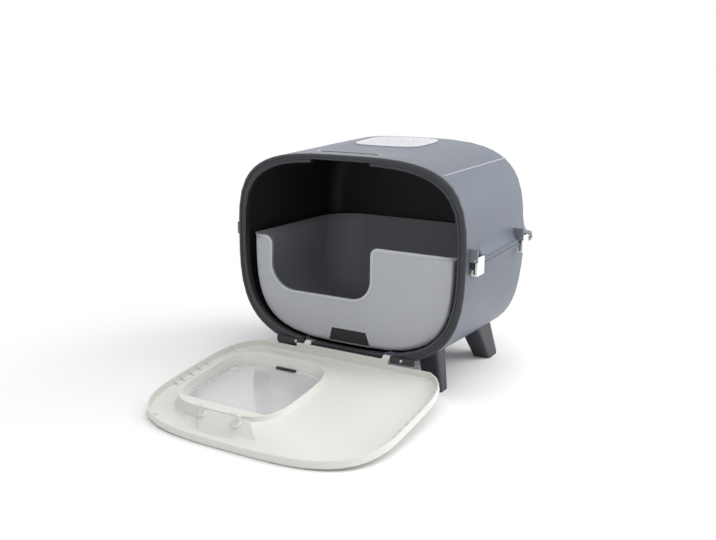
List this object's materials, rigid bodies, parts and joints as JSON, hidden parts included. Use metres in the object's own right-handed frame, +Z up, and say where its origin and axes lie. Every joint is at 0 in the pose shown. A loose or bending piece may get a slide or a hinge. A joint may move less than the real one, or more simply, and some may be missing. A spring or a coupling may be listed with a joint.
{
  "type": "hooded litter box with drop-down front door",
  "caption": "Hooded cat litter box on four splayed legs, its front door with a clear flap dropped open on the floor.",
  "frame": {"origin": "on the floor, midway between the far edge of the open door and the back of the cabin", "axes": "+X to the right seen from the front, +Y from the open door towards the back, +Z up"},
  "size_m": [0.539, 0.7596, 0.468],
  "materials": {
    "shell": "satin moulded polypropylene, charcoal blue-grey",
    "trim": "satin dark plastic",
    "tray": "semi-gloss light grey plastic",
    "door": "semi-gloss ivory plastic",
    "clear": "clear glossy acrylic",
    "white": "glossy white plastic",
    "vent": "matt light grey plastic",
    "steel": "plain steel",
    "magnet": "black moulded block",
    "filter": "charcoal filter felt",
    "bracket": "satin mid-grey plastic"
  },
  "bodies": {
    "cabin": {"base_shell": "shell", "hood_shell": "shell", "hinge_rail": "trim", "rail_screws": "steel", "leg_front_left": "trim", "leg_front_right": "trim", "leg_rear_left": "trim", "leg_rear_right": "trim", "roof_latch_bar": "trim", "roof_latch_pins": "white", "clip_brackets": "bracket", "clip_keepers": "trim", "clip_pins": "steel", "tray_runners": "shell"},
    "tray": {"litter_tray": "tray"},
    "door": {"door_panel": "door", "door_hooks": "door", "door_latch_housing": "door", "latch_lugs": "door", "flap_bearings": "door", "flap_strike": "steel"},
    "flap": {"flap_window": "clear", "flap_frame": "clear", "flap_pins": "steel", "flap_magnet": "magnet"},
    "vent": {"vent_cover": "vent", "filter_pad": "filter", "filter_retainer": "vent"},
    "clip_front_left": {"clip_front_left": "white"},
    "clip_front_right": {"clip_front_right": "white"},
    "clip_rear_left": {"clip_rear_left": "white"},
    "clip_rear_right": {"clip_rear_right": "white"}
  },
  "joints": [
    {"name": "door_hinge", "type": "hinge", "parent": "cabin", "child": "door", "pos_m": [0, 0.00225, 0.0645], "axis": [1, 0, 0], "range_deg": [-96.6, 0]},
    {"name": "flap_swing", "type": "hinge", "parent": "door", "child": "flap", "pos_m": [-0.072, -0.28426, 0.02199], "axis": [-1, 0, 0], "range_deg": [-75, 0]},
    {"name": "tray_slide", "type": "slide", "parent": "cabin", "child": "tray", "axis": [0, -1, 0], "range_m": [0, 0.3]},
    {"name": "vent_lift", "type": "slide", "parent": "cabin", "child": "vent", "axis": [0, -0.0454, 0.999], "range_m": [0, 0.04]},
    {"name": "clip_front_left_hinge", "type": "hinge", "parent": "cabin", "child": "clip_front_left", "pos_m": [-0.2655, 0.03825, 0.2765], "axis": [0, 1, 0], "range_deg": [0, 100]},
    {"name": "clip_front_right_hinge", "type": "hinge", "parent": "cabin", "child": "clip_front_right", "pos_m": [0.2655, 0.03825, 0.2765], "axis": [0, -1, 0], "range_deg": [0, 100]},
    {"name": "clip_rear_left_hinge", "type": "hinge", "parent": "cabin", "child": "clip_rear_left", "pos_m": [-0.2655, 0.28525, 0.2765], "axis": [0, 1, 0], "range_deg": [0, 100]},
    {"name": "clip_rear_right_hinge", "type": "hinge", "parent": "cabin", "child": "clip_rear_right", "pos_m": [0.2655, 0.28525, 0.2765], "axis": [0, -1, 0], "range_deg": [0, 100]}
  ]
}
